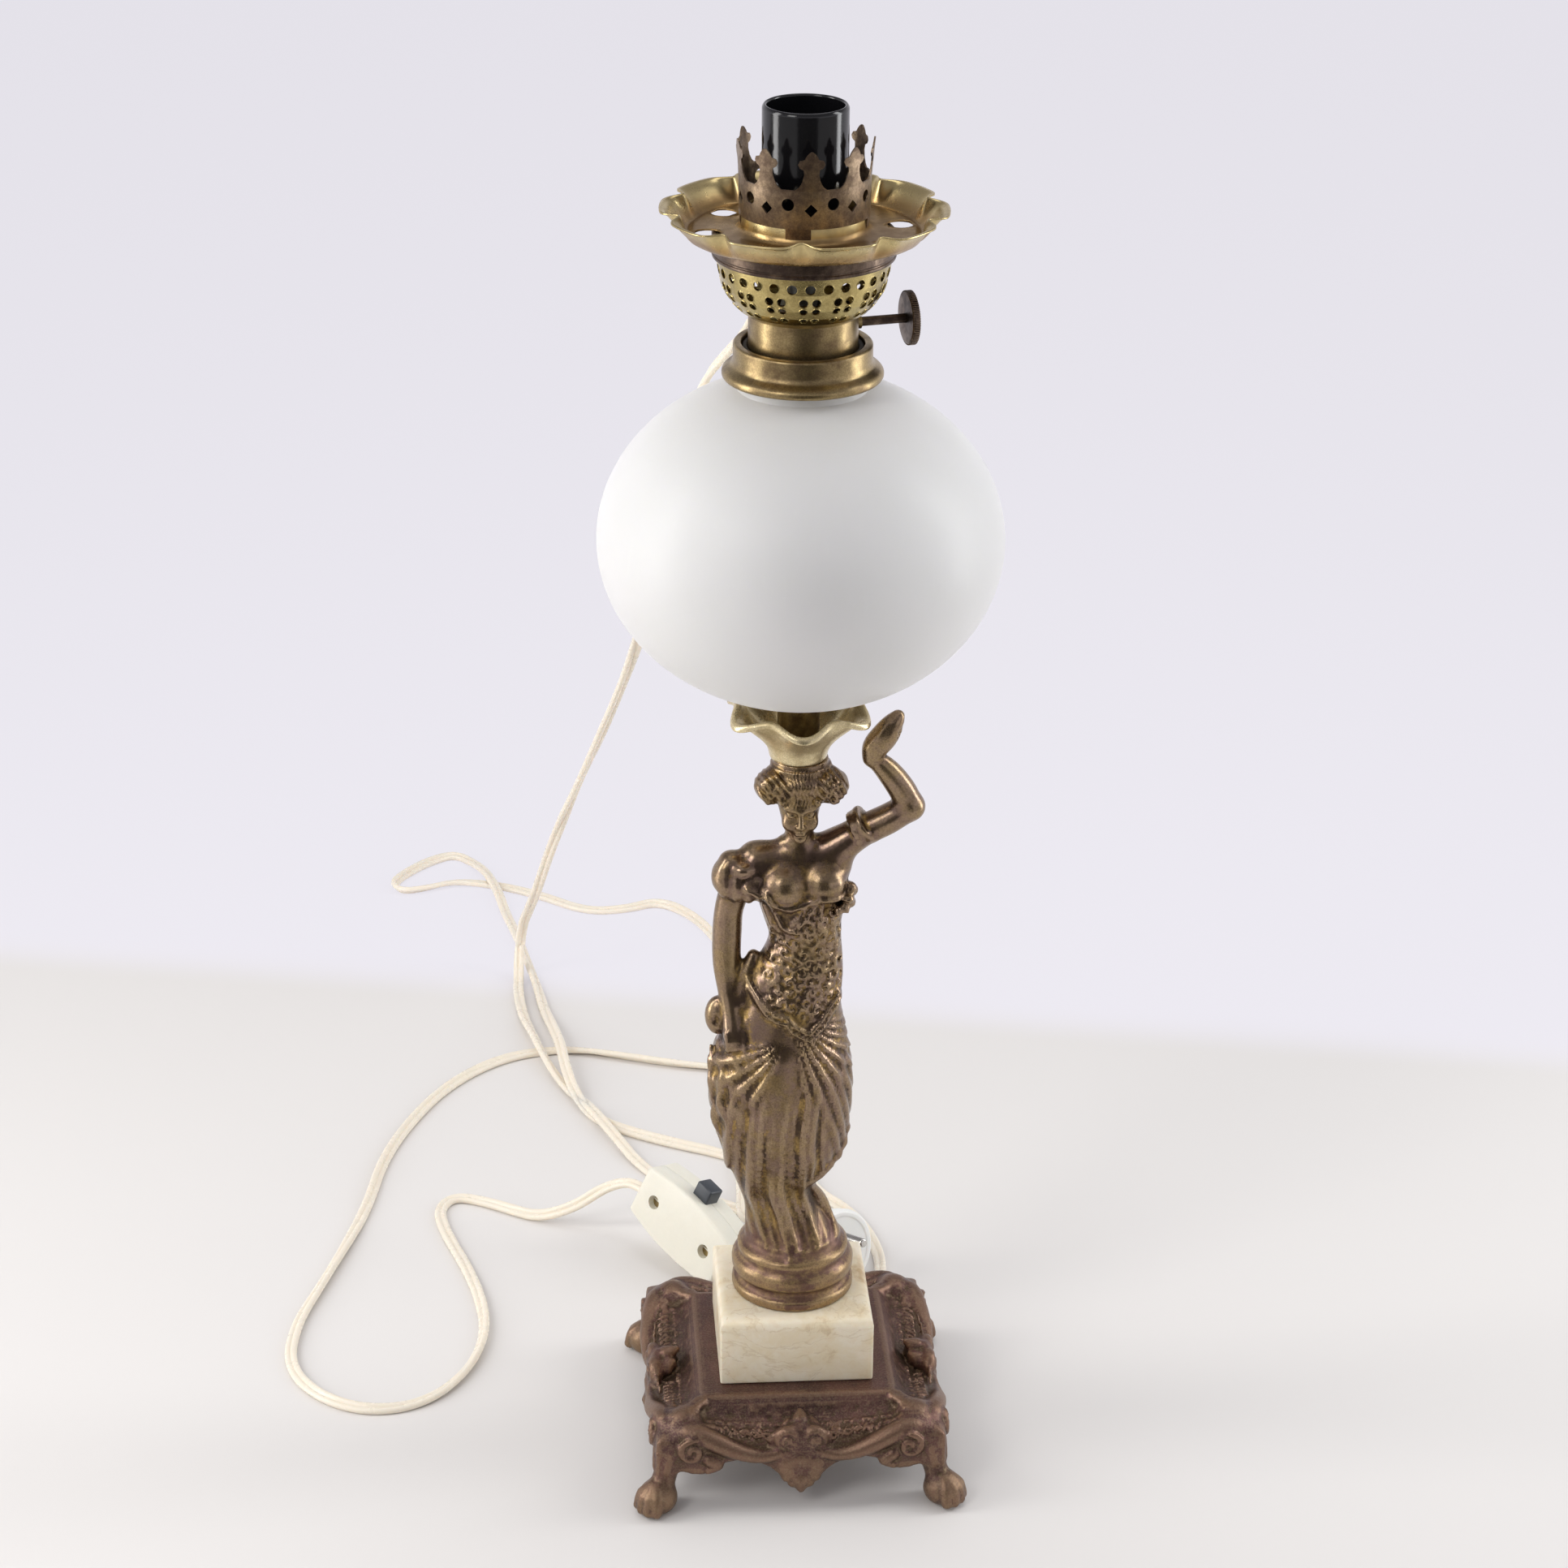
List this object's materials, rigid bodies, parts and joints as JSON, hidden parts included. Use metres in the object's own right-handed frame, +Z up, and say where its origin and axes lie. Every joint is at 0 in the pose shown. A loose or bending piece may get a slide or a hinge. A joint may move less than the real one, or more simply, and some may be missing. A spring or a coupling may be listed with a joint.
{
  "type": "figural table lamp",
  "caption": "Table lamp with a draped cast figure on a marble block and pawed base, a frosted glass globe, a burner gallery and an E14 lamp holder, with in-line switch and plug.",
  "frame": {"origin": "centre of the base's footprint, on the floor", "axes": "+Z up along the lamp's axis, -Y to the lamp's front, +X to its right, 12 degrees in front of the winder's shaft"},
  "size_m": [0.285, 0.6156, 0.5504],
  "materials": {
    "base_metal": "aged, gilt on the edges",
    "steel": "plain",
    "marble": "polished, veined",
    "figure_metal": "bronzed, worn",
    "cup_brass": "aged",
    "brass": "aged, satin",
    "gasket": "matte",
    "frosted_glass": "frosted, cut scratches",
    "black_rubber": "matte",
    "tray_brass": "aged",
    "crown_bronze": "dull",
    "holder_plastic": "matte",
    "black_plastic": "gloss",
    "flex": "translucent",
    "ivory_plastic": "satin",
    "white_plastic": "satin",
    "nickel": "polished",
    "button_plastic": "satin"
  },
  "bodies": {
    "lamp": {"cast_base": "base_metal", "base_washer": "steel", "base_nut": "steel", "base_stud": "steel", "marble_block": "marble", "figure": "figure_metal", "tulip_cup": "cup_brass", "globe_seat": "brass", "lower_gasket": "gasket", "glass_globe": "frosted_glass", "upper_gasket": "gasket", "font_collar": "brass", "collar_washer": "gasket", "font_tube": "steel", "burner_neck": "brass", "cord_grommet": "black_rubber", "burner_basket": "brass", "gallery_band": "brass", "gallery_tray": "tray_brass", "crown_gallery": "crown_bronze", "tube_nut": "brass", "holder_body": "holder_plastic", "screw_shell": "brass", "centre_contact": "brass", "holder_sleeve": "black_plastic", "wick_bush": "brass", "feed_lead": "flex", "lamp_flex": "flex", "plug_flex": "flex", "switch_case_front": "ivory_plastic", "switch_case_back": "ivory_plastic", "switch_screws": "brass", "switch_terminals": "brass", "plug_body": "white_plastic", "plug_pins": "nickel", "plug_relief": "white_plastic"},
    "winder": {"wick_shaft": "crown_bronze", "wick_wheel": "brass", "wick_knob": "crown_bronze"},
    "button": {"switch_button": "button_plastic"}
  },
  "joints": [
    {"name": "winder_turn", "type": "hinge", "parent": "lamp", "child": "winder", "pos_m": [0.02416, 0.00513, 0.4696], "axis": [0.9781, 0.2079, 0], "continuous": true},
    {"name": "button_press", "type": "slide", "parent": "lamp", "child": "button", "axis": [-0.388, 0.0541, -0.9201], "range_m": [0, 0.002], "stiffness_N_per_m": 300, "springref_m": -0.001}
  ]
}
